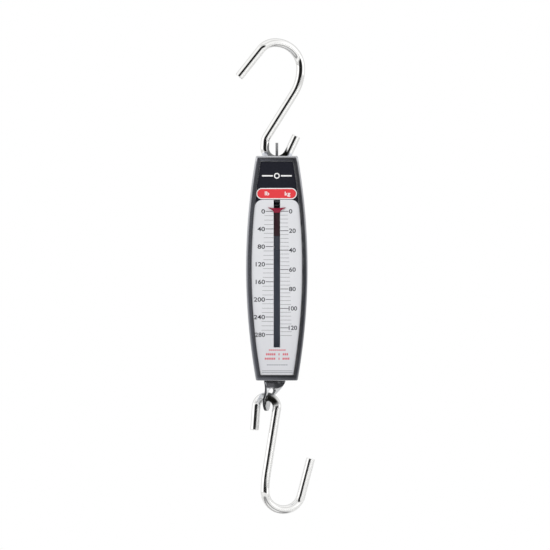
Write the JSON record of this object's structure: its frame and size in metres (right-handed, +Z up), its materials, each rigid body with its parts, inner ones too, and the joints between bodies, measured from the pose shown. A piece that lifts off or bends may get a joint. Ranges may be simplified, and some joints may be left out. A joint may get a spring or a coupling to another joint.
{
  "type": "hanging spring scale",
  "caption": "Hanging spring scale: bowed dark case with a straight slotted dial, a riding pointer, a wire hook above and a load hook on a twisted flat bar below.",
  "frame": {"origin": "the point inside the upper hook's crown where the hook bears on its rail, on the load line", "axes": "+Z up along the load line, -Y out of the dial towards the reader, +X to the reader's right; millimetre sources, metres here"},
  "size_m": [0.0732, 0.0383, 0.4424],
  "materials": {
    "hook_chrome": "polished",
    "hanger_steel": "matte",
    "fastener_steel": "zinc plated",
    "case_metal": "satin dark",
    "cap_black": "matte",
    "guide_nylon": "satin",
    "dial_sheet": "printed satin",
    "spring_steel": "oiled",
    "plug_zinc": "as cast",
    "bar_plated": "bright plated",
    "carrier_steel": "satin",
    "pointer_red": "satin paint"
  },
  "bodies": {
    "upper_hook": {"upper_hook": "hook_chrome"},
    "case": {"hanger_plate": "hanger_steel", "hanger_pin": "fastener_steel", "top_cap": "cap_black", "bottom_cap": "cap_black", "bar_guide": "guide_nylon", "front_cover": "case_metal", "back_cover": "case_metal", "cover_screws": "fastener_steel", "cap_screws": "fastener_steel", "dial_plate": "dial_sheet", "main_spring": "spring_steel", "upper_spring_plug": "plug_zinc", "upper_plug_pin": "fastener_steel"},
    "draw_bar": {"lower_spring_plug": "plug_zinc", "lower_plug_pin": "fastener_steel", "draw_bar": "bar_plated", "pointer_carrier": "carrier_steel", "carrier_screws": "fastener_steel", "pointer": "pointer_red", "pointer_rivets": "fastener_steel"},
    "lower_hook": {"lower_hook": "hook_chrome"}
  },
  "joints": [
    {"name": "upper_hook_swing", "type": "hinge", "parent": "upper_hook", "child": "case", "pos_m": [0, 0, -0.10504], "axis": [1, 0, 0], "range_deg": [-58, 58]},
    {"name": "load_travel", "type": "slide", "parent": "case", "child": "draw_bar", "axis": [0, 0, -1], "range_m": [0, 0.1165], "stiffness_N_per_m": 10860, "springref_m": -0.0003, "deforming": ["main_spring"]},
    {"name": "lower_hook_swing", "type": "hinge", "parent": "draw_bar", "child": "lower_hook", "pos_m": [-0.0096, 0, -0.32514], "axis": [1, 0, 0], "range_deg": [-80, 35]}
  ]
}
